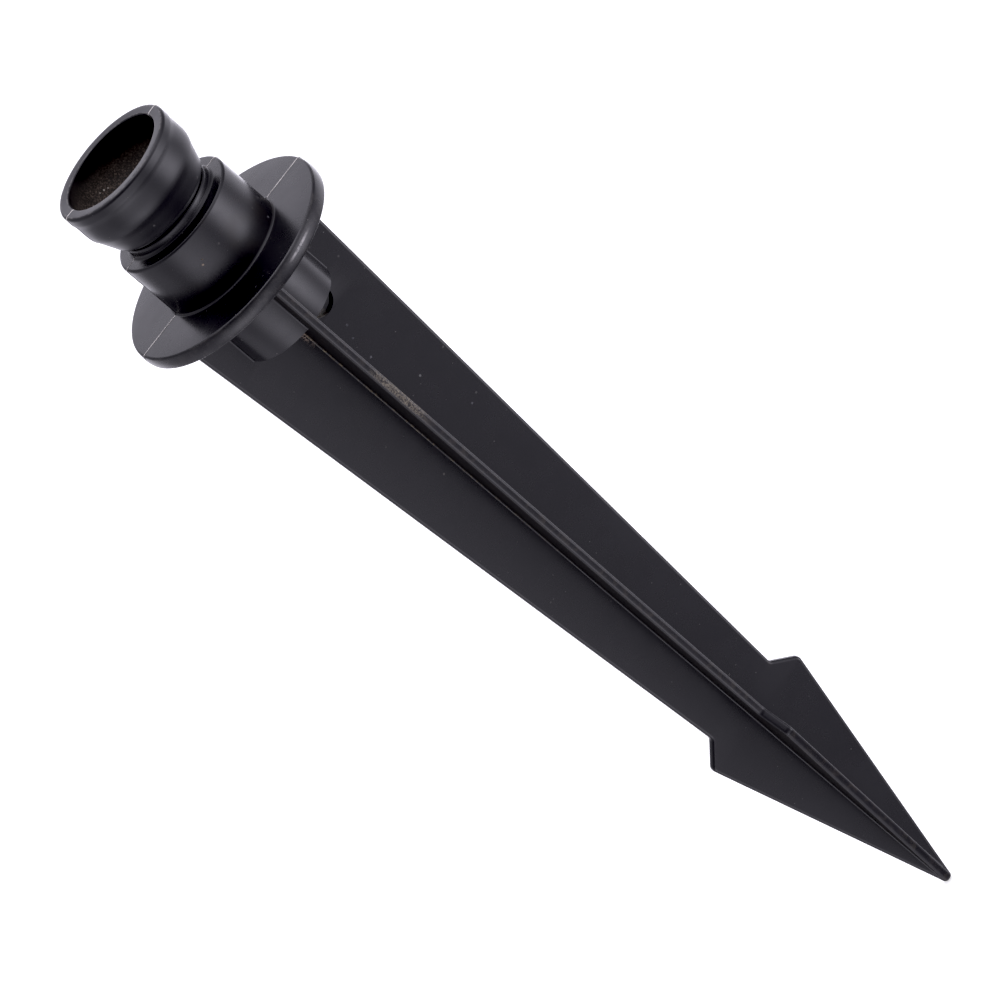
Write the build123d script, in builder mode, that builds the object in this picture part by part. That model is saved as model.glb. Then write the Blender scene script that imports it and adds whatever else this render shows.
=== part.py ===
from build123d import *
import os

# Ground spike of a garden light: one black injection moulding, held here as its named
# regions, which meet face to face and never overlap.
# Millimetres, +Z up. Origin: centre of the flange's underside, which is the soil line.
# The blade points down, the lamp socket points up. -Y is the front.

# ---- driving dimensions ----
flange_r = 30.0          # soil flange, outer radius
flange_top_z = 4.1       # thickness of the flange
flange_corner_r = 29.7   # radius at the two corners of the slightly convex rim
flange_edge_r = 0.7      # rounding of those corners

collar_r = 17.0
collar_top_z = 20.9
collar_base_fillet = 0.6
collar_top_round = 0.75

neck_r = 13.15
neck_top_z = 23.6        # shoulder of the neck
neck_top_round = 0.5
neck_base_fillet = 1.0
groove_r = 12.5          # dark groove between the neck's shoulder and the cup
cup_bottom_z = 25.0

rim_top_z = 40.65
rim_round = 0.85         # outer rounding of the rim
rim_inner_round = 0.35
mouth_r = 13.9           # bore of the socket's mouth
mouth_floor_z = 34.5     # the straight wall ends here and the bowl closes in
bowl_floor_z = 28.6
bore_r = 9.5             # stem and cable bore below the bowl
bore_floor_z = -15.0

hub_r = 13.9
hub_bottom_z = -18.75

outlet_r = 3.8           # cable outlet through the hub's floor
outlet_x = 6.3
outlet_y = -6.3

fin_t = 2.4              # thickness of each of the four fins
fin_top_x = 22.42        # half-width of the blade at the flange
fin_root_x = 12.24       # half-width where the barb starts
fin_root_z = -182.16
barb_x = 18.21           # half-width at the barb's outer corner
barb_z = -188.05
tip_z = -265.45
fin_edge_round = 0.8
barb_corner_r = 1.85
barb_root_r = 1.72

pocket_r = 3.9           # round relief in the right fin's front face, in line with the outlet
pocket_x = 6.5
pocket_z = -22.15
pocket_depth = 1.5

ht = fin_t / 2

os.makedirs("parts", exist_ok=True)

# ---- socket cup: bowl that narrows to its foot, with a thick rounded rim that stands
# slightly proud of the wall, open at the top ----
outer_wall = [
    (14.134, 25.2),
    (14.55, 26.4),
    (14.92, 27.4),
    (15.67, 29.4),
    (16.43, 31.15),
    (16.75, 32.8),
    (16.78, 34.8),
    (16.76, 36.8),
    (16.86, 37.6),
    (16.98, 38.4),
    (16.98, rim_top_z - rim_round),
]
rim_flat_out = 16.98 - rim_round
rim_flat_in = mouth_r + rim_inner_round
with BuildPart() as socket_cup:
    with BuildSketch(Plane.XZ):
        with BuildLine():
            Polyline((bore_r, bowl_floor_z), (bore_r, cup_bottom_z), (14.06, cup_bottom_z), outer_wall[0])
            Spline(*outer_wall)
            RadiusArc(outer_wall[-1], (rim_flat_out, rim_top_z), -rim_round)
            Line((rim_flat_out, rim_top_z), (rim_flat_in, rim_top_z))
            RadiusArc((rim_flat_in, rim_top_z), (mouth_r, rim_top_z - rim_inner_round), -rim_inner_round)
            Line((mouth_r, rim_top_z - rim_inner_round), (mouth_r, mouth_floor_z))
            ThreePointArc((mouth_r, mouth_floor_z), (12.35, 31.0), (bore_r, bowl_floor_z))
        make_face()
    revolve(axis=Axis.Z)
socket_cup.part.label = "socket_cup"
export_step(socket_cup.part, "parts/socket_cup.step")

# ---- neck between the cup and the collar, with the groove above its shoulder ----
with BuildPart() as socket_neck:
    with BuildSketch(Plane.XZ):
        with BuildLine():
            Line((neck_r, collar_top_z + neck_base_fillet), (neck_r, neck_top_z - neck_top_round))
            RadiusArc((neck_r, neck_top_z - neck_top_round), (neck_r - neck_top_round, neck_top_z), -neck_top_round)
            Polyline(
                (neck_r - neck_top_round, neck_top_z),
                (groove_r, neck_top_z),
                (groove_r, cup_bottom_z),
                (bore_r, cup_bottom_z),
                (bore_r, collar_top_z),
                (neck_r + neck_base_fillet, collar_top_z),
            )
            RadiusArc(
                (neck_r + neck_base_fillet, collar_top_z),
                (neck_r, collar_top_z + neck_base_fillet),
                neck_base_fillet,
            )
        make_face()
    revolve(axis=Axis.Z)
socket_neck.part.label = "socket_neck"
export_step(socket_neck.part, "parts/socket_neck.step")

# ---- collar standing on the flange ----
with BuildPart() as collar:
    with BuildSketch(Plane.XZ):
        with BuildLine():
            Polyline(
                (collar_r, flange_top_z + collar_base_fillet),
                (collar_r, collar_top_z - collar_top_round),
            )
            RadiusArc(
                (collar_r, collar_top_z - collar_top_round),
                (collar_r - collar_top_round, collar_top_z),
                -collar_top_round,
            )
            Polyline(
                (collar_r - collar_top_round, collar_top_z),
                (bore_r, collar_top_z),
                (bore_r, flange_top_z),
                (collar_r + collar_base_fillet, flange_top_z),
            )
            RadiusArc(
                (collar_r + collar_base_fillet, flange_top_z),
                (collar_r, flange_top_z + collar_base_fillet),
                collar_base_fillet,
            )
        make_face()
    revolve(axis=Axis.Z)
collar.part.label = "collar"
export_step(collar.part, "parts/collar.step")

# ---- flange that rests on the soil: flat faces, slightly convex rim ----
with BuildPart() as ground_flange:
    with BuildSketch(Plane.XZ):
        with BuildLine():
            Line((bore_r, 0), (flange_corner_r, 0))
            ThreePointArc((flange_corner_r, 0), (flange_r, flange_top_z / 2), (flange_corner_r, flange_top_z))
            Polyline((flange_corner_r, flange_top_z), (bore_r, flange_top_z), (bore_r, 0))
        make_face()
    revolve(axis=Axis.Z)
    fillet(
        ground_flange.edges().filter_by(GeomType.CIRCLE).filter_by(lambda e: abs(e.radius - flange_corner_r) < 0.01),
        radius=flange_edge_r,
    )
ground_flange.part.label = "ground_flange"
export_step(ground_flange.part, "parts/ground_flange.step")

# ---- hub under the flange: blind bore, with the cable outlet through its floor ----
with BuildPart() as hub:
    with BuildSketch(Plane.XY.offset(hub_bottom_z)):
        Circle(hub_r)
    extrude(amount=-hub_bottom_z)
    with BuildSketch(Plane.XY.offset(bore_floor_z)):
        Circle(bore_r)
    extrude(amount=-bore_floor_z, mode=Mode.SUBTRACT)
    with BuildSketch(Plane.XY.offset(hub_bottom_z)):
        with Locations((outlet_x, outlet_y)):
            Circle(outlet_r)
    extrude(amount=bore_floor_z - hub_bottom_z, mode=Mode.SUBTRACT)
hub.part.label = "hub"
export_step(hub.part, "parts/hub.step")

# ---- centre of the blade, where the four fins cross, down to the point ----
with BuildPart() as blade_core:
    with BuildSketch(Plane.XY.offset(tip_z)):
        Rectangle(fin_t, fin_t)
    extrude(amount=hub_bottom_z - tip_z)
    chamfer(blade_core.faces().sort_by(Axis.Z)[0].edges(), length=1.0, length2=0.7)
blade_core.part.label = "blade_core"
export_step(blade_core.part, "parts/blade_core.step")

# ---- four barbed fins ----
fin_planes = {
    "fin_right": Plane.XZ,
    "fin_left": Plane(origin=(0, 0, 0), x_dir=(-1, 0, 0), z_dir=(0, 1, 0)),
    "fin_front": Plane(origin=(0, 0, 0), x_dir=(0, -1, 0), z_dir=(-1, 0, 0)),
    "fin_rear": Plane(origin=(0, 0, 0), x_dir=(0, 1, 0), z_dir=(1, 0, 0)),
}


def barbed_fin(name, plane):
    with BuildPart() as fin:
        with BuildSketch(plane) as outline:
            with BuildLine():
                Polyline(
                    (ht, tip_z + 0.9),
                    (ht, 0),
                    (fin_top_x, 0),
                    (fin_root_x, fin_root_z),
                    (barb_x, barb_z),
                    (ht + 0.2, tip_z + 0.9),
                    close=True,
                )
            make_face()
            fillet(outline.vertices().sort_by_distance((barb_x, barb_z))[0], radius=barb_corner_r)
            fillet(outline.vertices().sort_by_distance((fin_root_x, fin_root_z))[0], radius=barb_root_r)
        extrude(amount=ht, both=True)
        # round the two long edges of the upper run and of the barb's taper
        runs = [
            e
            for e in fin.edges().filter_by(GeomType.LINE)
            if e.length > 60
            and plane.to_local_coords(e).center().X > ht + 1
            and abs(abs(plane.to_local_coords(e).center().Z) - ht) < 0.01
        ]
        fillet(runs, radius=fin_edge_round)
        # the hub stands between the fins and the axis
        with BuildSketch(Plane.XY.offset(hub_bottom_z)):
            Circle(hub_r)
        extrude(amount=-hub_bottom_z, mode=Mode.SUBTRACT)
        if name == "fin_right":
            with BuildSketch(Plane.XZ.offset(ht)):
                with Locations((pocket_x, pocket_z)):
                    Circle(pocket_r)
            extrude(amount=-pocket_depth, mode=Mode.SUBTRACT)
    fin.part.label = name
    export_step(fin.part, "parts/" + name + ".step")
    return fin


fins = [barbed_fin(n, p) for n, p in fin_planes.items()]
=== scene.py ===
import bpy, bmesh, math
from mathutils import Matrix, Vector


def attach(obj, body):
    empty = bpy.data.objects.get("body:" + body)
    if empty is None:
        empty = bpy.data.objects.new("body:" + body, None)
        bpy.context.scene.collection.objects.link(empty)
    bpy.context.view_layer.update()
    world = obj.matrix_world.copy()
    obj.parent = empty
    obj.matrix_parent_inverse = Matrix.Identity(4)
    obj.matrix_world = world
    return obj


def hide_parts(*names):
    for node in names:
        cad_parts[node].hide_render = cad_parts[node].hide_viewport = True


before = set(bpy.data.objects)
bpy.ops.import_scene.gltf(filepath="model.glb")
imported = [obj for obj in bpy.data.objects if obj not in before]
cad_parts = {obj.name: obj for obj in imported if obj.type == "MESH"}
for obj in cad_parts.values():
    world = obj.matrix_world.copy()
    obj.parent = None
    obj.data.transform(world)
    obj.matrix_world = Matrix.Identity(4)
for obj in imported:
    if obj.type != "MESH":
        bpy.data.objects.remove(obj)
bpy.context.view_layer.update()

MM = 0.001

# ---------------------------------------------------------------- dimensions (mm, same as the CAD)
FLANGE_R, FLANGE_TOP_Z = 30.0, 4.1
COLLAR_R, COLLAR_TOP = 17.0, 20.9
NECK_R, NECK_TOP, GROOVE_R, CUP_Z = 13.15, 23.6, 12.5, 25.0
RIM_TOP, MOUTH_R, MOUTH_FLOOR = 40.65, 13.9, 34.5
BORE_R, BORE_FLOOR = 9.5, -15.0
HUB_R, HUB_Z = 13.9, -18.75
OUTLET = (6.3, -6.3, 3.8)
PX, PZ, PR, PD = 6.5, -22.15, 3.9, 1.5    # round relief in the right fin: centre, radius, depth
HT = 1.2                                  # half the fin's thickness
ROOT_F = 0.3                              # fillet between two fins
FIN_X = HT + ROOT_F                       # where a fin's own mesh begins
ER = 0.8                                  # rounding of the fin's outer edges
TOP_X, ROOT_X, ROOT_Z, BARB_X, BARB_Z = 22.42, 12.24, -182.16, 18.21, -188.05
POINT_Z = -265.17                         # where the point's edges would meet the core
TAPER = (BARB_X - HT) / (BARB_Z - POINT_Z)  # slope of the point's edges
TIP_CUT = -261.0                          # the fins end here and the solid point takes over
TIP_Z = -265.42


def arc(cx, cz, r, a0, a1, n):
    return [(cx + r * math.cos(math.radians(a0 + (a1 - a0) * i / n)),
             cz + r * math.sin(math.radians(a0 + (a1 - a0) * i / n))) for i in range(n + 1)]


def catmull(pts, per=5):
    """Smooth curve through the points of a turned wall."""
    out = []
    for i in range(len(pts) - 1):
        p0 = pts[max(i - 1, 0)]; p1 = pts[i]; p2 = pts[i + 1]; p3 = pts[min(i + 2, len(pts) - 1)]
        for k in range(per):
            t = k / per
            out.append(tuple(0.5 * (2 * p1[j] + (p2[j] - p0[j]) * t + (2 * p0[j] - 5 * p1[j] + 4 * p2[j] - p3[j]) * t * t
                                    + (3 * p1[j] - p0[j] - 3 * p2[j] + p3[j]) * t ** 3) for j in (0, 1)))
    return out + [pts[-1]]


def new_mesh(name, verts, faces, sharp=38.0):
    me = bpy.data.meshes.new(name)
    me.from_pydata([(x * MM, y * MM, z * MM) for x, y, z in verts], [], faces)
    bm = bmesh.new(); bm.from_mesh(me)
    bmesh.ops.remove_doubles(bm, verts=bm.verts, dist=1e-7)
    bmesh.ops.dissolve_degenerate(bm, edges=bm.edges, dist=1e-8)
    bmesh.ops.recalc_face_normals(bm, faces=bm.faces)
    bm.to_mesh(me); bm.free()
    me.shade_smooth()
    me.set_sharp_from_angle(angle=math.radians(sharp))
    ob = bpy.data.objects.new(name, me)
    bpy.context.scene.collection.objects.link(ob)
    return ob


def lathe_data(profile, segs=256):
    """Closed profile loop [(r, z)] turned about Z. Returns verts and faces."""
    n = len(profile)
    verts, faces = [], []
    for s in range(segs):
        a = 2 * math.pi * s / segs
        ca, sa = math.cos(a), math.sin(a)
        verts += [(r * ca, r * sa, z) for r, z in profile]
    for s in range(segs):
        t = (s + 1) % segs
        for i in range(n):
            j = (i + 1) % n
            faces.append((s * n + i, t * n + i, t * n + j, s * n + j))
    return verts, faces


def join_data(*parts):
    verts, faces = [], []
    for v, f in parts:
        k = len(verts)
        verts += list(v)
        faces += [tuple(i + k for i in q) for q in f]
    return verts, faces


def seam_ridge(profile, side, half=0.16, height=0.10, top=RIM_TOP):
    """The mould's parting line: a fine raised bead that follows an open profile [(r, z)] in the plane y = 0."""
    pts = profile
    verts, faces = [], []
    ring = [(-half, -0.12), (-half * 0.75, height * 0.62), (0, height), (half * 0.75, height * 0.62), (half, -0.12)]
    m = len(ring)
    for i, (r, z) in enumerate(pts):
        a = pts[max(i - 1, 0)]; b = pts[min(i + 1, len(pts) - 1)]
        dr, dz = b[0] - a[0], b[1] - a[1]
        d = math.hypot(dr, dz) or 1.0
        nr, nz = dz / d, -dr / d            # outward for a profile that runs upwards
        fade = min(1.0, i / 2, (len(pts) - 1 - i) / 2)
        for y, h in ring:
            hh = h if h < 0 else h * fade
            verts.append((side * min(r + nr * hh, FLANGE_R - 0.01), y, min(z + nz * hh, top)))
    for i in range(len(pts) - 1):
        for k in range(m):
            q = (k + 1) % m
            faces.append((i * m + k, i * m + q, (i + 1) * m + q, (i + 1) * m + k))
    faces.append(tuple(range(m)))
    faces.append(tuple((len(pts) - 1) * m + k for k in reversed(range(m))))
    return verts, faces


def dense(pts, step=0.6):
    out = [pts[0]]
    for a, b in zip(pts, pts[1:]):
        n = max(1, int(math.hypot(b[0] - a[0], b[1] - a[1]) / step))
        out += [(a[0] + (b[0] - a[0]) * i / n, a[1] + (b[1] - a[1]) * i / n) for i in range(1, n + 1)]
    return out


# ---------------------------------------------------------------- the turned regions
wall = catmull([(14.134, 25.2), (14.24, 25.5), (14.55, 26.4), (14.92, 27.4), (15.29, 28.4), (15.67, 29.4), (16.06, 30.3),
                (16.43, 31.15), (16.65, 32.0), (16.75, 32.8), (16.79, 33.7), (16.78, 34.8), (16.76, 36.0),
                (16.77, 36.9), (16.86, 37.6), (16.96, 38.2), (16.98, 39.0), (16.98, 39.8)], 4)
cup_foot = [(14.06, CUP_Z), (14.134, 25.2)]
lip = arc(16.13, 39.8, 0.85, 0, 90, 14)[1:]
crown = [(15.5, 40.63), (14.9, 40.58)]
inner_lip = arc(14.3, 40.15, 0.4, 90, 180, 8)
bowl_in = [(13.9, 38.0), (13.9, MOUTH_FLOOR)] + catmull([(13.9, 34.5), (13.62, 33.4), (12.95, 31.8), (11.9, 30.3), (10.6, 29.2), (9.5, 28.6)], 4)[1:]
cup_outer = cup_foot + wall[1:] + lip + crown
cup_seam = dense(wall + lip + crown + [(14.3, 40.55), (14.12, 40.5)])
cup = new_mesh("socket_cup_shell", *join_data(
    lathe_data(cup_outer + inner_lip + bowl_in + [(BORE_R, CUP_Z)]),
    seam_ridge(cup_seam, 1), seam_ridge(cup_seam, -1)))

neck_outer = arc(NECK_R + 1.0, COLLAR_TOP + 1.0, 1.0, 270, 180, 12) + [(NECK_R, 22.6)] + arc(NECK_R - 0.55, NECK_TOP - 0.55, 0.55, 0, 80, 8) + [(GROOVE_R, 23.85), (GROOVE_R, CUP_Z)]
neck = new_mesh("socket_neck_shell", *join_data(
    lathe_data(neck_outer + [(BORE_R, CUP_Z), (BORE_R, COLLAR_TOP)]),
    seam_ridge(dense(neck_outer[:-3]), 1), seam_ridge(dense(neck_outer[:-3]), -1)))

collar_side = arc(COLLAR_R + 0.6, FLANGE_TOP_Z + 0.6, 0.6, 270, 180, 10) + [(COLLAR_R, 8.0), (COLLAR_R, 14.0)] \
    + arc(COLLAR_R - 0.75, COLLAR_TOP - 0.75, 0.75, 0, 90, 12) + [(NECK_R + 1.0, COLLAR_TOP)]
collar = new_mesh("collar_shell", *join_data(
    lathe_data(collar_side + [(BORE_R, COLLAR_TOP), (BORE_R, FLANGE_TOP_Z)]),
    seam_ridge(dense(collar_side), 1), seam_ridge(dense(collar_side), -1)))

# the rim is a flat convex arc between two small rounded edges
def rim_profile():
    half, sag, er = FLANGE_TOP_Z / 2, 0.30, 0.70
    big = (half ** 2 + sag ** 2) / (2 * sag)
    cx = FLANGE_R - big
    # small circle tangent to the flat face and to the big arc from inside
    dz = half - er
    dx = math.sqrt((big - er) ** 2 - dz ** 2)
    ang = math.degrees(math.atan2(dz, dx))
    low = arc(cx + dx, half - dz, er, 270, 360 - ang, 7)
    mid = arc(cx, half, big, -ang, ang, 14)[1:-1]
    top = arc(cx + dx, half + dz, er, ang, 90, 7)
    return low + mid + top


flange_rim = rim_profile()
flange_outer = flange_rim + [(22.0, FLANGE_TOP_Z), (COLLAR_R + 0.6, FLANGE_TOP_Z)]
flange_seam = dense(flange_rim[len(flange_rim) // 2 + 3:] + flange_outer[len(flange_rim):])
flange = new_mesh("ground_flange_disc", *join_data(
    lathe_data(flange_outer + [(BORE_R, FLANGE_TOP_Z), (BORE_R, 0.0), (HUB_R, 0.0)], 320),
    seam_ridge(flange_seam, 1, 0.18), seam_ridge(flange_seam, -1, 0.18)))

# ---------------------------------------------------------------- hub, with the cable outlet through its floor
hub_profile = arc(HUB_R - 0.15, HUB_Z + 0.15, 0.15, 270, 360, 4) + [(HUB_R, -9.0), (HUB_R, 0.0), (BORE_R, 0.0), (BORE_R, BORE_FLOOR)]


def hub_root(a_deg, side):
    """Small fillet between the hub's wall and one face of a fin."""
    r = 0.45
    y0 = HT
    # centre of the fillet circle, tangent to the hub's wall (outside) and to the fin's face
    cy = y0 + r
    cx = math.sqrt((HUB_R + r) ** 2 - cy ** 2)
    t0 = math.degrees(math.atan2(-cy, -cx)) % 360       # touches the hub
    t1 = 270.0                                          # touches the fin
    pts = arc(cx, cy, r, t0, t1, 6)
    loop = [(cx - 1.2, y0 - 0.3), (HUB_R - 0.6, cy * 0.98)] + pts + [(cx, y0 - 0.3)]
    a = math.radians(a_deg)
    verts, faces = [], []
    n = len(loop)
    for z in (HUB_Z + 0.02, 0.0):
        for x, y in loop:
            y *= side
            verts.append((x * math.cos(a) - y * math.sin(a), x * math.sin(a) + y * math.cos(a), z))
    faces = [(i, (i + 1) % n, n + (i + 1) % n, n + i) for i in range(n)] + [tuple(range(n)), tuple(n + i for i in reversed(range(n)))]
    return verts, faces


def lathe_open_floor():
    """Hub wall, plus its floor as a plate with the round outlet in it."""
    segs, n = 256, len(hub_profile)
    verts, faces = [], []
    for s in range(segs):
        a = 2 * math.pi * s / segs
        verts += [(r * math.cos(a), r * math.sin(a), z) for r, z in hub_profile]
    for s in range(segs):
        t = (s + 1) % segs
        for i in range(n - 1):
            faces.append((s * n + i, t * n + i, t * n + i + 1, s * n + i + 1))
    ox, oy, orad = OUTLET

    def plate(z, ring_index):
        base = len(verts)
        for s in range(segs):
            a = 2 * math.pi * s / segs
            verts.append((ox + orad * math.cos(a), oy + orad * math.sin(a), z))
        for s in range(segs):
            t = (s + 1) % segs
            faces.append((s * n + ring_index, t * n + ring_index, base + t, base + s))
        return base
    low = plate(HUB_Z, 0)
    top = plate(BORE_FLOOR, n - 1)
    for s in range(segs):
        t = (s + 1) % segs
        faces.append((low + s, low + t, top + t, top + s))
    return verts, faces


hub = new_mesh("hub_body", *join_data(lathe_open_floor(), *[hub_root(a, s) for a in (0, 90, 180, 270) for s in (1, -1)]), sharp=30)

# ---------------------------------------------------------------- fins


def fin_outline():
    """Outer edge of a fin from the flange to the point, as (x, z, nx, nz) with outward normals."""
    u1 = Vector((ROOT_X - TOP_X, ROOT_Z)).normalized()
    u2 = Vector((BARB_X - ROOT_X, BARB_Z - ROOT_Z)).normalized()
    zc = TIP_CUT
    xe = HT + TAPER * (zc - POINT_Z)
    u3 = Vector((xe - BARB_X, zc - BARB_Z)).normalized()

    def normal(u):
        return Vector((-u.y, u.x))          # left of travel; the run goes down, so this points outwards
    pts = []

    def corner(p, ua, ub, r, n):
        turn = ua.angle(ub)
        d = r * math.tan(turn / 2)
        a = p - ua * d
        na, nb = normal(ua), normal(ub)
        s = 1.0 if ua.cross(ub) < 0 else -1.0        # convex outwards when the run turns inwards
        c = a - na * r * s
        for i in range(n + 1):
            t = i / n
            m = (na * math.sin((1 - t) * turn) + nb * math.sin(t * turn)) / math.sin(turn)
            m.normalize()
            q = c + m * r * s
            pts.append((q.x, q.y, m.x, m.y))
        return d

    n1 = normal(u1)
    z = 0.0
    while z > ROOT_Z + 2.5:
        x = TOP_X + (ROOT_X - TOP_X) * z / ROOT_Z
        pts.append((x, z, n1.x, n1.y))
        z -= 3.0
    corner(Vector((ROOT_X, ROOT_Z)), u1, u2, 1.72, 9)
    corner(Vector((BARB_X, BARB_Z)), u2, u3, 1.85, 14)
    n3 = normal(u3)
    z = BARB_Z - 3.0
    while z > zc + 1.0:
        pts.append((HT + TAPER * (z - POINT_Z), z, n3.x, n3.y))
        z -= 3.0
    pts.append((xe, zc, n3.x, n3.y))
    return pts


def fin_mesh(name, angle, pocket=False):
    outline = fin_outline()
    # rounding: distance in from the edge and half-thickness there
    steps = [(ER * (1 - math.sin(math.radians(a))), HT - ER + ER * math.cos(math.radians(a))) for a in (90, 75, 60, 45, 30, 15, 0)]
    rows = []
    for i, (x, z, nx, nz) in enumerate(outline):
        row = []
        for d, y in steps:
            if i == 0 or i == len(outline) - 1:        # keep the two ends flat
                row.append((x - d / nx, y, z))
            else:
                row.append((x - d * nx, y, z - d * nz))
        x_in = (HUB_R - 0.35) if z > HUB_Z + 1e-6 else FIN_X
        zi = row[-1][2]
        row.append((x_in, HT, zi))
        rows.append(row)
    # a station exactly at the hub's bottom, where the inner edge steps in
    k = next(i for i in range(len(rows) - 1) if outline[i][1] > HUB_Z >= outline[i + 1][1])
    t = (outline[k][1] - HUB_Z) / (outline[k][1] - outline[k + 1][1])
    mid = [tuple(a[j] + (b[j] - a[j]) * t for j in range(3)) for a, b in zip(rows[k][:-1], rows[k + 1][:-1])]
    up = mid + [(HUB_R - 0.35, HT, mid[-1][2])]
    low = mid + [(HUB_R - 0.35, HT, mid[-1][2]), (FIN_X, HT, mid[-1][2])]
    ca, sa = math.cos(math.radians(angle)), math.sin(math.radians(angle))
    verts, faces = [], []

    def put(p, side):
        x, y, z = p[0], p[1] * side, p[2]
        verts.append((x * ca - y * sa, x * sa + y * ca, z))
        return len(verts) - 1
    seq = [("r", r) for r in rows[:k + 1]] + [("m", low)] + [("r", r) for r in rows[k + 1:]]
    idx = {1: [], -1: []}
    for side in (1, -1):
        for kind, r in seq:
            idx[side].append([put(p, side) for p in r])
    ns = len(steps)
    for side in (1, -1):
        R = idx[side]
        for i in range(len(R) - 1):
            a, b = R[i], R[i + 1]
            for j in range(ns - 1):
                faces.append((a[j], a[j + 1], b[j + 1], b[j]))
            above = seq[i][0] == "r" and i <= k
            a_in = a[ns]
            if seq[i][0] == "m":
                a_in = a[ns + 1]
                faces.append((a[ns - 1], a[ns], a_in, b[ns], b[ns - 1]))
            else:
                b_in = b[ns]
                faces.append((a[ns - 1], a_in, b_in, b[ns - 1]))
    # outer strip, inner walls, ends
    A, B = idx[1], idx[-1]
    for i in range(len(A) - 1):
        faces.append((A[i][0], A[i + 1][0], B[i + 1][0], B[i][0]))
        ai, bi = A[i][ns], B[i][ns]
        if seq[i][0] == "m":
            faces.append((A[i][ns], A[i][ns + 1], B[i][ns + 1], B[i][ns]))
            ai, bi = A[i][ns + 1], B[i][ns + 1]
        faces.append((ai, A[i + 1][ns], B[i + 1][ns], bi))
    for e in (0, len(A) - 1):
        faces.append(tuple(A[e][:ns + 1]) + tuple(reversed(B[e][:ns + 1])))
    ob = new_mesh(name, verts, faces, sharp=30)
    if pocket:
        # round relief under the hub, in line with the outlet, with a softened lip and floor
        ring = [(PR + 0.30, -1.0), (PR + 0.30, -0.02), (PR + 0.12, 0.03), (PR + 0.03, 0.12), (PR, 0.26)] \
            + [(PR - 0.30 + 0.30 * math.cos(math.radians(q)), PD - 0.30 + 0.30 * math.sin(math.radians(q))) for q in (0, 22, 45, 68, 90)]
        n, m = 96, len(ring)
        v = [(PX + r * math.cos(2 * math.pi * i / n), -HT + d, PZ + r * math.sin(2 * math.pi * i / n)) for r, d in ring for i in range(n)]
        f = [(k * n + i, k * n + (i + 1) % n, (k + 1) * n + (i + 1) % n, (k + 1) * n + i) for k in range(m - 1) for i in range(n)]
        f += [tuple(range(n)), tuple((m - 1) * n + i for i in reversed(range(n)))]
        cut = new_mesh("pocket_cutter", v, f)
        mod = ob.modifiers.new("pocket", "BOOLEAN")
        mod.operation, mod.solver, mod.object = "DIFFERENCE", "EXACT", cut
        dg = bpy.context.evaluated_depsgraph_get()
        done = bpy.data.meshes.new_from_object(ob.evaluated_get(dg))
        ob.modifiers.clear()
        ob.data = done
        done.name = name
        done.shade_smooth()
        done.set_sharp_from_angle(angle=math.radians(30))
        bpy.data.objects.remove(cut)
    return ob


fin_right = fin_mesh("fin_right_blade", 0, pocket=True)
fin_rear = fin_mesh("fin_rear_blade", 90)
fin_left = fin_mesh("fin_left_blade", 180)
fin_front = fin_mesh("fin_front_blade", 270)


# ---------------------------------------------------------------- core: root fillets, then the solid point
def core_section():
    out = []
    for q in range(4):
        c, s = [(1, 0), (0, 1), (-1, 0), (0, -1)][q]
        for x, y in arc(FIN_X, FIN_X, ROOT_F, 270, 180, 6):
            out.append((x * c - y * s, x * s + y * c))
    return out


def point_section(z, n=160):
    """Cross of two rounded bars, as far out as the taper reaches at this height."""
    xo = HT + TAPER * (z - POINT_Z)
    xo = max(xo, HT)
    close = 1.0
    zr = TIP_Z + 1.15
    if z < zr:
        close = math.sqrt(max(0.0, 1 - ((zr - z) / 1.15) ** 2))
    ring = []
    for i in range(n):
        a = 2 * math.pi * (i + 0.5) / n
        c, s = abs(math.cos(a)), abs(math.sin(a))

        def reach(cx, sy):
            # rounded bar |x| < xo, |y| < HT with corner radius ER, ray (cx, sy)
            lo, hi = 0.0, 30.0
            for _ in range(40):
                m = (lo + hi) / 2
                x, y = m * cx, m * sy
                dx, dy = max(x - (xo - ER), 0), max(y - (HT - ER), 0)
                inside = (dx * dx + dy * dy <= ER * ER) and x <= xo and y <= HT
                lo, hi = (m, hi) if inside else (lo, m)
            return lo
        r = max(reach(c, s), reach(s, c))
        ring.append((r * math.cos(a) * close, r * math.sin(a) * close))
    return ring


def core_mesh():
    sec = core_section()
    n = len(sec)
    verts, faces = [], []
    levels = [HUB_Z - 10.0 * i for i in range(25)]
    levels = [z for z in levels if z > TIP_CUT + 3] + [TIP_CUT]
    for z in levels:
        verts += [(x, y, z) for x, y in sec]
    for k in range(len(levels) - 1):
        for i in range(n):
            j = (i + 1) % n
            faces.append((k * n + i, k * n + j, (k + 1) * n + j, (k + 1) * n + i))
    faces.append(tuple(range(n)))
    faces.append(tuple((len(levels) - 1) * n + i for i in reversed(range(n))))
    # the point
    v2, f2 = [], []
    zs = [TIP_CUT - 0.5 * i for i in range(8)] + [TIP_Z + 1.15 * (1 - math.sin(math.radians(a))) for a in range(0, 90, 9)]
    zs = sorted(set(zs), reverse=True)
    m = 160
    for z in zs:
        v2 += [(x, y, z) for x, y in point_section(z, m)]
    v2.append((0, 0, TIP_Z))
    for k in range(len(zs) - 1):
        for i in range(m):
            j = (i + 1) % m
            f2.append((k * m + i, k * m + j, (k + 1) * m + j, (k + 1) * m + i))
    f2.append(tuple(range(m)))
    for i in range(m):
        f2.append(((len(zs) - 1) * m + i, (len(zs) - 1) * m + (i + 1) % m, len(v2) - 1))
    return join_data((verts, faces), (v2, f2))


core = new_mesh("blade_core_and_point", *core_mesh(), sharp=40)

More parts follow.
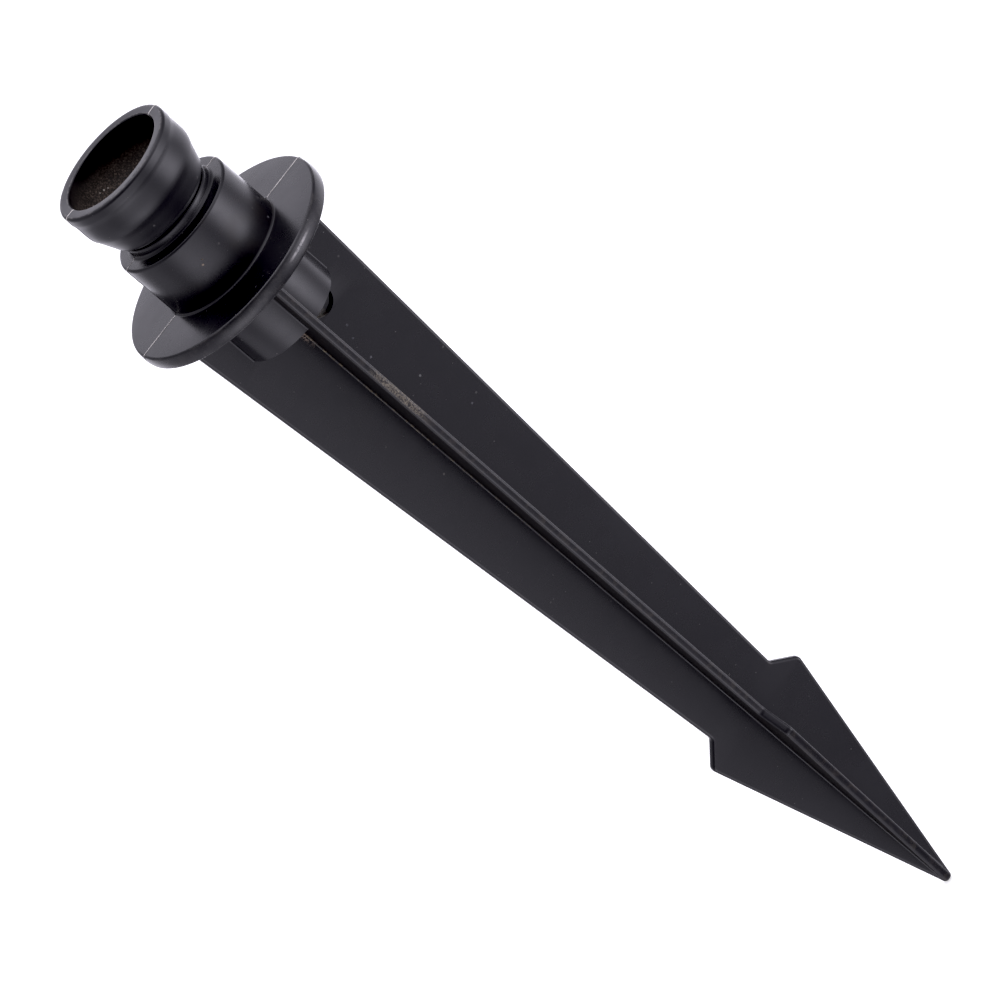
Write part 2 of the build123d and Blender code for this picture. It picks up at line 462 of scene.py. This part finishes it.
pairs = [(cup, "socket_cup"), (neck, "socket_neck"), (collar, "collar"), (flange, "ground_flange"), (hub, "hub"),
         (core, "blade_core"), (fin_right, "fin_right"), (fin_left, "fin_left"), (fin_front, "fin_front"), (fin_rear, "fin_rear")]
for ob, node in pairs:
    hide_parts(node)
    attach(ob, "root")


# ---------------------------------------------------------------- material
class Nodes:
    def __init__(self, name):
        self.mat = bpy.data.materials.new(name)
        self.mat.use_nodes = True
        self.t = self.mat.node_tree
        self.t.nodes.clear()
        self.out = self.t.nodes.new("ShaderNodeOutputMaterial")
        self.bsdf = self.t.nodes.new("ShaderNodeBsdfPrincipled")
        self.t.links.new(self.bsdf.outputs[0], self.out.inputs[0])
        self.pos = self.t.nodes.new("ShaderNodeTexCoord").outputs["Object"]

    def link(self, a, b):
        self.t.links.new(a, b)

    def noise(self, scale, detail=3.0, rough=0.55, vec=None, lac=2.0):
        n = self.t.nodes.new("ShaderNodeTexNoise")
        n.inputs["Scale"].default_value = scale
        n.inputs["Detail"].default_value = detail
        n.inputs["Roughness"].default_value = rough
        n.inputs["Lacunarity"].default_value = lac
        self.link(vec or self.pos, n.inputs["Vector"])
        return n.outputs["Fac"]

    def voronoi(self, scale, vec=None, feature="F1", rnd=1.0):
        n = self.t.nodes.new("ShaderNodeTexVoronoi")
        n.feature = feature
        n.inputs["Scale"].default_value = scale
        n.inputs["Randomness"].default_value = rnd
        self.link(vec or self.pos, n.inputs["Vector"])
        return n.outputs["Distance"], n.outputs["Color"]

    def math(self, op, a, b=None, clamp=False, c=None):
        n = self.t.nodes.new("ShaderNodeMath")
        n.operation, n.use_clamp = op, clamp
        for i, v in enumerate((a, b, c)):
            if v is None:
                continue
            if isinstance(v, (int, float)):
                n.inputs[i].default_value = v
            else:
                self.link(v, n.inputs[i])
        return n.outputs[0]

    def ramp(self, fac, lo, hi, a=0.0, b=1.0, smooth=True):
        n = self.t.nodes.new("ShaderNodeMapRange")
        n.interpolation_type = "SMOOTHSTEP" if smooth else "LINEAR"
        n.inputs["From Min"].default_value, n.inputs["From Max"].default_value = lo, hi
        n.inputs["To Min"].default_value, n.inputs["To Max"].default_value = a, b
        self.link(fac, n.inputs["Value"])
        return n.outputs["Result"]

    def mix(self, fac, a, b):
        n = self.t.nodes.new("ShaderNodeMix")
        n.data_type = "RGBA"
        if isinstance(fac, (int, float)):
            n.inputs[0].default_value = fac
        else:
            self.link(fac, n.inputs[0])
        for i, v in ((6, a), (7, b)):
            if isinstance(v, tuple):
                n.inputs[i].default_value = (*v, 1)
            else:
                self.link(v, n.inputs[i])
        return n.outputs[2]

    def add(self, fac, colour, rougher):
        """Lay another colour over the surface where fac is 1, and make it rougher there."""
        self.col = self.mix(fac, self.col, colour)
        self.rough = self.math("ADD", self.rough, self.math("MULTIPLY", fac, rougher))

    def xyz(self, vec=None):
        n = self.t.nodes.new("ShaderNodeSeparateXYZ")
        self.link(vec or self.pos, n.inputs[0])
        return n.outputs

    def bump(self, height, strength, dist, normal=None):
        n = self.t.nodes.new("ShaderNodeBump")
        n.inputs["Strength"].default_value = strength
        n.inputs["Distance"].default_value = dist
        self.link(height, n.inputs["Height"])
        if normal is not None:
            self.link(normal, n.inputs["Normal"])
        return n.outputs[0]


BASE = (0.0074, 0.0070, 0.0088)


def plastic(name, rough=0.27, dusty=0.0):
    """Satin black moulded plastic: very fine grain, slow ripples of shrinkage, sparse dust specks."""
    m = Nodes(name)
    m.x, m.y, m.z = m.xyz()
    cloud = m.noise(38, 4, 0.6)
    mottle = m.noise(240, 3, 0.6)
    m.col = m.mix(m.ramp(cloud, 0.35, 0.7), BASE, tuple(c * 1.25 for c in BASE))
    m.rough = m.math("ADD", m.ramp(cloud, 0.3, 0.75, rough - 0.025, rough + 0.03), m.ramp(mottle, 0.35, 0.7, -0.01, 0.02))
    # settled dust: a few pale specks with soft edges, and finer ones between them
    for scale, big, small, least, shade in ((330, 0.13, 0.05, 0.90, 0.075), (900, 0.19, 0.07, 0.955 - dusty, 0.11)):
        d, c = m.voronoi(scale)
        pick = m.ramp(m.xyz(c)[0], least, least + 0.02)
        dust = m.math("MULTIPLY", m.ramp(d, big, small), pick)
        m.add(m.math("MULTIPLY", dust, 0.8), (shade, shade * 0.96, shade * 0.93), 0.30)
    return m


def band(m, value, lo, hi, soft):
    """1 between lo and hi, with soft ends."""
    return m.math("MULTIPLY", m.ramp(value, lo - soft, lo + soft), m.ramp(value, hi + soft, hi - soft))


def done(m):
    m.link(m.col, m.bsdf.inputs["Base Color"])
    m.link(m.math("ADD", m.rough, 0.0, clamp=True), m.bsdf.inputs["Roughness"])
    m.bsdf.inputs["IOR"].default_value = 1.5
    grain = m.noise(5200, 2, 0.5)
    ripple = m.noise(55, 2, 0.5)
    n1 = m.bump(grain, 0.10, 0.00004)
    n2 = m.bump(ripple, 0.16, 0.0006, n1)
    m.link(n2, m.bsdf.inputs["Normal"])
    return m.mat


def parting_line(m, spots, tone=(0.80, 0.77, 0.72)):
    """Painted highlight: the raised parting line is painted pale in the given height bands, where it crosses a face
    that looks up, broken up by noise.
    """
    line = m.ramp(m.math("ABSOLUTE", m.y), 0.00020, 0.00014)
    where = None
    for lo, hi in spots:
        w = band(m, m.z, lo * MM, hi * MM, 0.0001)
        where = w if where is None else m.math("MAXIMUM", where, w)
    patchy = m.ramp(m.noise(300, 3, 0.6), 0.30, 0.60, 0.55, 1.0)
    m.add(m.math("MULTIPLY", m.math("MULTIPLY", line, where), patchy), tone, 0.15)


def radius(m):
    return m.math("SQRT", m.math("ADD", m.math("MULTIPLY", m.x, m.x), m.math("MULTIPLY", m.y, m.y)))


# socket: painted highlight along the parting line on the rim, dried soil on the bowl inside it
cup_m = plastic("satin_black_moulding_socket", rough=0.33)
parting_line(cup_m, [(39.4, 41.0)])
inside = cup_m.ramp(radius(cup_m), 0.01398, 0.01388)
depth = cup_m.math("ADD", cup_m.z, cup_m.math("MULTIPLY", cup_m.x, 0.24))
soil = cup_m.noise(2300, 4, 0.75)
patch = cup_m.noise(170, 4, 0.65)
# a pale grey layer higher up, which is painted sheen on the inner wall, then grains that lie closer together further
# down
wall_sheen = cup_m.math("MULTIPLY", inside, cup_m.ramp(cup_m.math("ADD", depth, cup_m.math("MULTIPLY", patch, 0.004)), 0.0420, 0.0362))
cup_m.add(wall_sheen, (0.029, 0.026, 0.021), 0.35)
inner = cup_m.math("MULTIPLY", inside, cup_m.ramp(cup_m.math("ADD", depth, cup_m.math("MULTIPLY", patch, 0.004)), 0.0392, 0.0342))
grains = cup_m.ramp(cup_m.math("ADD", cup_m.math("MULTIPLY", soil, 0.75), cup_m.math("MULTIPLY", patch, 0.45)), 0.50, 0.72, 0.10, 1.0)
brown = cup_m.mix(cup_m.ramp(soil, 0.40, 0.66), (0.036, 0.029, 0.022), (0.180, 0.146, 0.116))
cup_m.add(cup_m.math("MULTIPLY", inner, grains), brown, 0.3)
# the rim is painted pale along the turn of its outer and inner edge: partly scuffing, partly a painted highlight on
# these edges
turn_out = cup_m.math("MULTIPLY", band(cup_m, radius(cup_m), 0.01605, 0.01650, 0.00018), cup_m.ramp(cup_m.z, 0.0396, 0.0399))
turn_in = cup_m.math("MULTIPLY", band(cup_m, radius(cup_m), 0.01405, 0.01435, 0.00010), cup_m.ramp(cup_m.z, 0.0399, 0.0401))
scuff = cup_m.ramp(cup_m.noise(430, 4, 0.7), 0.44, 0.64)
cup_m.add(cup_m.math("MULTIPLY", cup_m.math("MULTIPLY", cup_m.math("MAXIMUM", turn_out, turn_in), scuff), 0.7), (0.170, 0.162, 0.152), 0.05)

# neck and collar: painted highlight along the parting line on the collar's top
collar_m = plastic("satin_black_moulding_collar")
parting_line(collar_m, [(20.45, 21.2)])
haze = collar_m.ramp(collar_m.noise(70, 3, 0.6), 0.52, 0.70, 0.0, 0.55)
collar_m.add(haze, (0.0135, 0.0105, 0.0075), 0.03)

# flange: painted highlight along the parting line on its top; rim painted pale along the upper edge, partly rubbed and
# partly a painted highlight
flange_m = plastic("satin_black_moulding_flange", dusty=0.13)
parting_line(flange_m, [(3.95, 4.4)])
rim_edge = flange_m.math("MULTIPLY", flange_m.ramp(radius(flange_m), 0.02935, 0.02965), flange_m.ramp(flange_m.z, 0.0034, 0.0039))
rub_and_highlight = flange_m.ramp(flange_m.noise(210, 4, 0.65), 0.46, 0.66)
flange_m.add(flange_m.math("MULTIPLY", flange_m.math("MULTIPLY", rim_edge, rub_and_highlight), 0.6), (0.060, 0.057, 0.053), 0.05)

outer = flange_m.math("MULTIPLY", flange_m.ramp(radius(flange_m), 0.02950, 0.02975), flange_m.ramp(flange_m.z, 0.0036, 0.0031))
scuffs = flange_m.ramp(flange_m.noise(650, 4, 0.7), 0.46, 0.62)
flange_m.add(flange_m.math("MULTIPLY", flange_m.math("MULTIPLY", outer, scuffs), 0.5), (0.032, 0.030, 0.029), 0.02)

# painted highlight: a bright streak along the front right of the rim, at mid height
painted_highlight_streak = flange_m.math("MULTIPLY", band(flange_m, flange_m.x, 0.0072, 0.0136, 0.0022), band(flange_m, flange_m.z, 0.00218, 0.00272, 0.00016))
painted_highlight_streak = flange_m.math("MULTIPLY", flange_m.math("MULTIPLY", painted_highlight_streak, flange_m.ramp(flange_m.y, -0.020, -0.021)), flange_m.ramp(flange_m.noise(500, 3, 0.7), 0.34, 0.58, 0.2, 1.0))
flange_m.add(painted_highlight_streak, (0.36, 0.35, 0.345), 0.05)

hub_m = plastic("satin_black_moulding_hub")


def spot(m, at, r, tone):
    """One small round spot laid on the surface: used for grains of dust and grit, and for painted glints in the bowl.
    """
    d = None
    for v, c in zip((m.x, m.y, m.z), at):
        e = m.math("POWER", m.math("ABSOLUTE", m.math("SUBTRACT", v, c * MM)), 2.0)
        d = e if d is None else m.math("ADD", d, e)
    m.add(m.ramp(m.math("SQRT", d), r * 1.3 * MM, r * 0.35 * MM), tone, 0.3)


# painted glints: four small bright points on the bowl's far wall
for at, r in (((-4.59, 12.42, 32.46), 0.26), ((-5.77, 12.11, 32.91), 0.16), ((-3.62, 12.51, 31.95), 0.18), ((-9.26, 9.79, 33.04), 0.18)):
    spot(cup_m, at, r, (0.62, 0.57, 0.50))
spot(collar_m, (-6.09, -15.87, 13.3), 0.30, (0.34, 0.27, 0.20))
spot(collar_m, (-5.3, -16.15, 14.4), 0.22, (0.12, 0.09, 0.06))
spot(collar_m, (12.83, -11.15, 5.7), 0.30, (0.17, 0.17, 0.18))


def blade_plastic(name):
    """The blade: soil in the corner between the left and the front fin, scuffed outer edges, duller flanks on the
    front fin.
    """
    m = plastic(name)
    ax, ay = m.math("ABSOLUTE", m.x), m.math("ABSOLUTE", m.y)
    reach = m.math("MAXIMUM", ax, ay)
    # half-width of the upper run at this height
    run = m.ramp(m.z, ROOT_Z * MM, 0.0, ROOT_X * MM, TOP_X * MM, smooth=False)
    on_run = m.ramp(m.z, -0.1835, -0.1810)
    tip_run = m.ramp(m.z, POINT_Z * MM, BARB_Z * MM, HT * MM, BARB_X * MM, smooth=False)
    on_tip = m.ramp(m.z, -0.1885, -0.1905)
    gap = m.math("ADD", m.math("MULTIPLY", on_run, m.math("SUBTRACT", reach, run)), m.math("MULTIPLY", on_tip, m.math("SUBTRACT", reach, tip_run)))
    edge = m.math("MULTIPLY", m.ramp(gap, -0.0009, -0.0003), m.math("MAXIMUM", on_run, on_tip))
    scuff = m.ramp(m.noise(330, 4, 0.7), 0.45, 0.68)
    m.add(m.math("MULTIPLY", m.math("MULTIPLY", edge, scuff), 0.45), (0.045, 0.038, 0.030), 0.10)
    # one long worn and soiled stretch on the front fin's outer edge
    front = m.ramp(m.y, -0.0100, -0.0120)
    stretch = m.math("MULTIPLY", band(m, m.z, -0.0535, -0.0362, 0.0030), m.ramp(m.x, -0.0010, -0.0005))
    crumbs = m.ramp(m.noise(2500, 3, 0.75), 0.43, 0.61, 0.06, 1.0)
    patchy = m.math("MULTIPLY", m.math("MULTIPLY", front, stretch), m.math("MULTIPLY", m.ramp(gap, -0.0010, -0.0005), crumbs))
    m.add(m.math("MULTIPLY", patchy, 0.85), (0.240, 0.210, 0.160), 0.35)
    # dried soil in the corner between the left and the front fin, thickest just below the hub
    corner = m.math("MULTIPLY", m.ramp(m.x, -0.00158, -0.00140), m.ramp(m.y, -0.00158, -0.00140))
    corner = m.math("MULTIPLY", corner, m.math("MULTIPLY", m.ramp(m.x, -0.0010, -0.0012), m.ramp(m.y, -0.0010, -0.0012)))
    fade = m.ramp(m.z, -0.1300, -0.0250, 0.12, 1.0, smooth=False)
    m.add(m.math("MULTIPLY", m.math("MULTIPLY", corner, fade), m.ramp(m.noise(900, 4, 0.75), 0.47, 0.60, 0.06, 1.0)), (0.170, 0.138, 0.086), 0.35)
    clump = m.math("MULTIPLY", band(m, m.x, -0.0024, -0.0011, 0.0005), band(m, m.y, -0.0024, -0.0011, 0.0005))
    clump = m.math("MULTIPLY", m.math("MULTIPLY", clump, m.math("MAXIMUM", m.ramp(ax, 0.00135, 0.00125), m.ramp(ay, 0.00135, 0.00125))), m.ramp(m.z, -0.0300, -0.0245))
    m.add(m.math("MULTIPLY", clump, m.ramp(m.noise(1900, 3, 0.7), 0.47, 0.57)), (0.42, 0.33, 0.26), 0.4)
    # a paler patch, broken up by noise, in the lower left of the round relief
    relief_pale_patch = m.math("MULTIPLY", band(m, m.x, 0.0020, 0.0062, 0.0008), m.math("MULTIPLY", band(m, m.z, -0.0265, -0.0240, 0.0002), band(m, m.y, -0.00112, 0.0010, 0.00006)))
    m.add(m.math("MULTIPLY", relief_pale_patch, m.ramp(m.noise(900, 3, 0.6), 0.36, 0.60, 0.35, 1.0)), (0.20, 0.19, 0.16), 0.4)
    # flanks of the front fin: duller and darker, with brownish dust
    flank = m.math("MULTIPLY", m.ramp(ax, 0.00130, 0.00122), m.ramp(m.y, -0.0017, -0.0021))
    flank = m.math("MULTIPLY", flank, m.ramp(ax, 0.00112, 0.00119))
    m.add(flank, (0.0122, 0.0116, 0.0106), 0.42)
    brownish = m.ramp(m.noise(520, 4, 0.7), 0.54, 0.72, 0.0, 0.7)
    m.add(m.math("MULTIPLY", flank, brownish), (0.026, 0.021, 0.015), 0.0)
    return m


blade_m = blade_plastic("satin_black_moulding_blade")
for at, r, tone in (((6.93, -1.2, -31.93), 0.34, (0.085, 0.085, 0.095)), ((4.86, -1.2, -42.07), 0.34, (0.14, 0.14, 0.15)),
                    ((5.51, -1.2, -35.26), 0.30, (0.07, 0.07, 0.08)), ((9.2, -1.2, -55.4), 0.34, (0.17, 0.17, 0.17)),
                    ((-5.13, -1.2, -76.6), 0.32, (0.15, 0.14, 0.13)), ((12.4, -1.2, -71.0), 0.30, (0.09, 0.09, 0.10))):
    spot(blade_m, at, r, tone)
# a darker copy of the blade's material, with a lower specular level: painted shade for the fins' broad faces
shaded_flank_m = blade_plastic("satin_black_moulding_shaded_flank")
shaded_flank_m.bsdf.inputs["Specular IOR Level"].default_value = 0.25
look = {"socket_cup": cup_m, "socket_neck": collar_m, "collar": collar_m, "ground_flange": flange_m, "hub": hub_m}
for m in (cup_m, collar_m, flange_m, hub_m, blade_m, shaded_flank_m):
    done(m)
for ob, node in pairs:
    ob.data.materials.clear()
    ob.data.materials.append(look.get(node, blade_m).mat)
# the two broad faces of the front and the rear fin carry the darker copy: painted shade on these faces
for ob in (fin_front, fin_rear):
    ob.data.materials.append(shaded_flank_m.mat)
    for p in ob.data.polygons:
        if abs(p.normal.x) > 0.97:
            p.material_index = 1

# ---------------------------------------------------------------- floor and studio light
# The floor is pure white paper with a light of its own. It neither shades the object nor shows in its gloss:
# the soft boxes below the horizon stand in for what the paper would throw back.
floor_me = bpy.data.meshes.new("studio_floor")
S = 60.0
floor_me.from_pydata([(-S, -S, -0.26545), (S, -S, -0.26545), (S, S, -0.26545), (-S, S, -0.26545)], [], [(0, 1, 2, 3)])
floor = bpy.data.objects.new("studio_floor", floor_me)
bpy.context.scene.collection.objects.link(floor)
floor.visible_diffuse = floor.visible_glossy = floor.visible_shadow = False
fm = bpy.data.materials.new("studio_floor_white")
fm.use_nodes = True
fb = fm.node_tree.nodes["Principled BSDF"]
fb.inputs["Base Color"].default_value = (0.93, 0.93, 0.93, 1)
fb.inputs["Roughness"].default_value = 0.9
fb.inputs["Specular IOR Level"].default_value = 0.0
fb.inputs["Emission Color"].default_value = (1, 1, 1, 1)
fb.inputs["Emission Strength"].default_value = 0.58
floor_me.materials.append(fm)

# Large soft boxes at infinity: azimuth from the front towards +X, elevation, tightness, brightness.
AMBIENT = 0.14
SOFT_BOXES = [
    (46, -20, 22, 3.73),     # key, right of the front
    (66, -24, 16, 1.35),     # its right half
    (60, 29, 8, 1.50),       # high, front right
    (-6, -19, 16, 1.14),     # front
    (-31, -33, 22, 1.76),    # fill, left and low
    (-51, -28, 22, 1.59),    # its left half
    (-95, -38, 22, 0.64),    # left, low
    (-106, 0, 4, 0.62),      # left, wide
    (118, -26, 16, 1.31),    # right
    (163, -17, 16, 3.40),    # back, low right
    (173, 15, 22, 1.24),     # back
    (-156, -25, 22, 1.26),   # back, left
    (142, 76, 8, 3.39),      # overhead
    (-80, -78, 22, 1.90),    # from below
]
world = bpy.data.worlds.new("studio")
bpy.context.scene.world = world
world.use_nodes = True
wt = world.node_tree
wt.nodes.clear()


def wnode(kind, op=None, **vals):
    n = wt.nodes.new(kind)
    if op:
        n.operation = op
    for i, v in vals.items():
        n.inputs[int(i[1:])].default_value = v
    return n


w_out, w_bg = wnode("ShaderNodeOutputWorld"), wnode("ShaderNodeBackground")
w_dir = wnode("ShaderNodeVectorMath", "NORMALIZE")
wt.links.new(wnode("ShaderNodeTexCoord").outputs["Generated"], w_dir.inputs[0])
total = None
for az, el, tight, bright in SOFT_BOXES:
    ra, re = math.radians(az), math.radians(el)
    d = wnode("ShaderNodeVectorMath", "DOT_PRODUCT", _1=(math.sin(ra) * math.cos(re), -math.cos(ra) * math.cos(re), math.sin(re)))
    wt.links.new(w_dir.outputs[0], d.inputs[0])
    f = wnode("ShaderNodeMath", "MULTIPLY_ADD", _1=float(tight), _2=-float(tight))
    wt.links.new(d.outputs["Value"], f.inputs[0])
    e = wnode("ShaderNodeMath", "EXPONENT")
    wt.links.new(f.outputs[0], e.inputs[0])
    g = wnode("ShaderNodeMath", "MULTIPLY_ADD", _1=bright, _2=AMBIENT)
    wt.links.new(e.outputs[0], g.inputs[0])
    if total is not None:
        wt.links.new(total, g.inputs[2])
    total = g.outputs[0]
master = wnode("ShaderNodeMath", "MULTIPLY", _1=0.87)
wt.links.new(total, master.inputs[0])
wt.links.new(master.outputs[0], w_bg.inputs["Strength"])
w_bg.inputs["Color"].default_value = (0.982, 0.954, 1.075, 1)
wt.links.new(w_bg.outputs[0], w_out.inputs[0])

# ---------------------------------------------------------------- camera
cam_data = bpy.data.cameras.new("camera")
cam = bpy.data.objects.new("camera", cam_data)
bpy.context.scene.collection.objects.link(cam)
cam_data.sensor_width, cam_data.lens = 36.0, 180.0
cam_data.clip_start, cam_data.clip_end = 0.05, 200.0
rot = Matrix(((0.6044028, 0.7900546, -0.1025232), (-0.4264027, 0.2120977, -0.8793153), (-0.6729621, 0.5751768, 0.4650738)))
cam.matrix_world = Matrix.Translation(Vector((-0.12549237, -1.06807097, 0.47121596))) @ rot.to_4x4()
bpy.context.scene.camera = cam

view = bpy.context.scene.view_settings
view.view_transform = "Standard"
view.look = "None"
# a slightly firm black point, as in product photography
view.use_curve_mapping = True
view.curve_mapping.black_level = (0.010, 0.010, 0.010)
view.curve_mapping.update()

bpy.context.view_layer.update()
